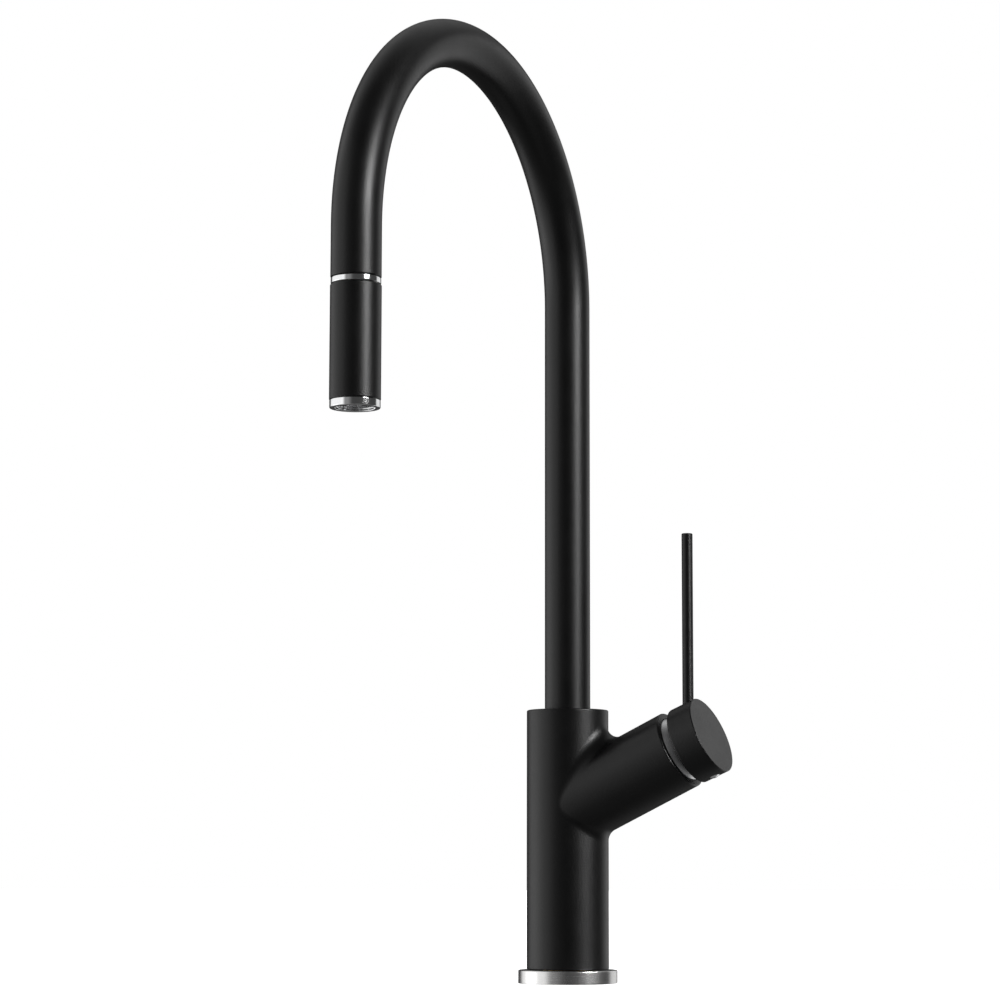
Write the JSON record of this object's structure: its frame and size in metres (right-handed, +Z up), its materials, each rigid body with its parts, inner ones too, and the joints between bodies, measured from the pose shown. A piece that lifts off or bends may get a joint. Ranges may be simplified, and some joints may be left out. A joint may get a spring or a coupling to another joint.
{
  "type": "pull-down kitchen tap",
  "caption": "Tall gooseneck mixer tap with a swivelling spout, a spray head that pulls down on a hose, and a pin lever on an angled side branch.",
  "frame": {"origin": "centre of the tap hole at the top of the worktop: on the body's axis, on the underside of the base ring", "axes": "+Z up along the body's axis, spout reaching towards -Y, handle branch towards +X"},
  "size_m": [0.1207, 0.2772, 0.625],
  "materials": {
    "black_coat": "fine matt black powder coat on brass",
    "brushed_metal": "fine brushed",
    "chrome": "polished",
    "brass": "as turned",
    "copper": "drawn copper tube",
    "steel": "satin",
    "rubber": "matt",
    "hose_braid": "braided nylon over a plastic hose",
    "pale_plastic": "moulded acetal",
    "dark_plastic": "moulded acetal",
    "ceramic": "lapped alumina ceramic"
  },
  "bodies": {
    "mixer_body": {"body_casting": "black_coat", "base_ring": "brushed_metal", "base_gasket": "rubber", "shank": "brass", "rubber_washer": "rubber", "clamp_washer": "steel", "shank_nut": "brass", "outlet_tail": "copper", "outlet_tail_seal": "rubber", "hot_tail": "copper", "hot_tail_seal": "rubber", "cold_tail": "copper", "cold_tail_seal": "rubber", "cartridge_base": "dark_plastic", "outlet_port_seal": "rubber", "hot_port_seal": "rubber", "cold_port_seal": "rubber", "fixed_disc": "ceramic", "cartridge_housing": "pale_plastic", "cartridge_nut": "brass", "trim_cap": "chrome", "upper_swivel_bush": "dark_plastic", "thrust_washer": "pale_plastic", "swivel_stop_screw": "steel", "hose_riser": "hose_braid", "hose_fitting": "brass"},
    "spout": {"spout_tube": "black_coat", "spout_foot": "brass", "friction_ring": "rubber", "dock_bush": "dark_plastic", "hose_arch": "hose_braid", "hose_drop": "hose_braid"},
    "hose_end": {"hose_ferrule": "steel", "hose_nipple": "brass", "hose_washer": "rubber"},
    "spray_head": {"spray_shell": "black_coat", "head_core": "dark_plastic", "dock_ring": "chrome", "inlet_filter": "steel", "check_valve_body": "pale_plastic", "check_valve_poppet": "dark_plastic", "check_valve_spring": "steel", "aerator_ring": "chrome", "aerator_insert": "chrome", "aerator_screen": "steel", "aerator_seal": "rubber"},
    "turning_rotor": {"rotor": "pale_plastic", "pivot_pin": "steel"},
    "handle": {"stem": "steel", "knob": "black_coat", "lever": "black_coat", "knob_grub_screw": "steel", "screw_plug": "chrome"},
    "sliding_disc": {"moving_disc": "ceramic", "disc_carrier": "pale_plastic"}
  },
  "joints": [
    {"name": "spout_swivel", "type": "hinge", "parent": "mixer_body", "child": "spout", "pos_m": [0, 0, 0.126], "axis": [0, 0, 1], "range_deg": [-75, 75]},
    {"name": "head_pull", "type": "slide", "parent": "spout", "child": "hose_end", "axis": [0, 0, -1], "range_m": [0, 0.25], "deforming": ["hose_drop"]},
    {"name": "head_spin", "type": "hinge", "parent": "hose_end", "child": "spray_head", "pos_m": [0, -0.2376, 0.33], "axis": [0, 0, 1], "continuous": true},
    {"name": "handle_turn", "type": "hinge", "parent": "mixer_body", "child": "turning_rotor", "pos_m": [0.05985, 0, 0.12199], "axis": [0.9041, 0, 0.4274], "range_deg": [-45, 45]},
    {"name": "handle_lift", "type": "hinge", "parent": "turning_rotor", "child": "handle", "pos_m": [0.05985, 0, 0.12199], "axis": [0, 1, 0], "range_deg": [-12.5, 8.5]},
    {"name": "disc_slide", "type": "slide", "parent": "turning_rotor", "child": "sliding_disc", "axis": [-0.4274, 0, 0.9041], "range_m": [-0.0027, 0.0018]}
  ],
  "couplings": [
    {"joint": "disc_slide", "follows": "handle_lift", "m_per_rad": 0.0116}
  ]
}
